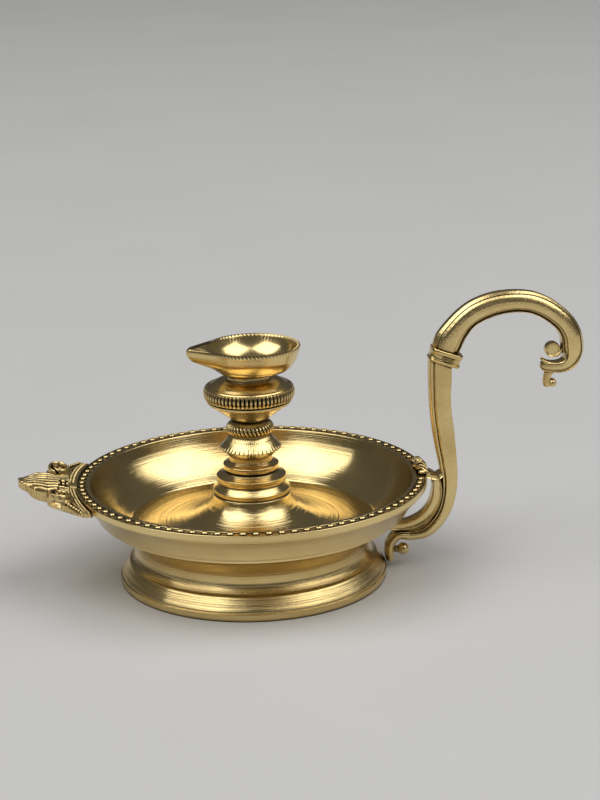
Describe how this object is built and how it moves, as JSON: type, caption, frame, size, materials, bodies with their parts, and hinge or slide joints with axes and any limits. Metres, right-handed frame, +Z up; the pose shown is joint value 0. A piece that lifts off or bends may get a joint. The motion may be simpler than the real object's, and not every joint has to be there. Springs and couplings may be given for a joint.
{
  "type": "aarti lamp",
  "caption": "Hand-held brass aarti lamp: a tear-drop wick cup on a turned stem, in a beaded drip dish on a waisted foot, with a swan-neck handle and a palmette crest.",
  "frame": {"origin": "centre of the foot ring, at the level of the table, on the stem's axis", "axes": "+X towards the handle, +Z up along the stem's axis, Y across the lamp"},
  "size_m": [0.1786, 0.11, 0.0883],
  "materials": {
    "turned_brass": "polished",
    "cast_brass": "satin",
    "washer_leather": "matt"
  },
  "bodies": {
    "lamp_base": {"foot_ring": "turned_brass", "dish": "turned_brass", "rim_beading": "cast_brass", "front_crest": "cast_brass", "rim_leaf": "cast_brass", "handle_shank": "cast_brass", "handle_bracket": "cast_brass", "handle_ball": "cast_brass", "handle_collar": "cast_brass", "handle_tenon": "cast_brass", "handle_hook": "cast_brass", "hook_eye": "cast_brass", "hook_drop": "cast_brass"},
    "washer": {"stem_washer": "washer_leather"},
    "stem": {"stem_stud": "turned_brass", "stem_foot": "turned_brass", "lower_knop": "turned_brass", "bead_collar": "turned_brass", "ribbed_bulb": "turned_brass", "wick_cup": "turned_brass"}
  },
  "joints": [
    {"name": "stem_lift", "type": "slide", "parent": "lamp_base", "child": "washer", "axis": [0, 0, 1], "range_m": [0, 0.0075]},
    {"name": "stem_unscrew", "type": "hinge", "parent": "washer", "child": "stem", "pos_m": [0, 0, 0.018], "axis": [0, 0, 1], "range_deg": [0, 2160]}
  ],
  "couplings": [
    {"joint": "stem_unscrew", "follows": "stem_lift", "rad_per_m": 5026.5}
  ]
}
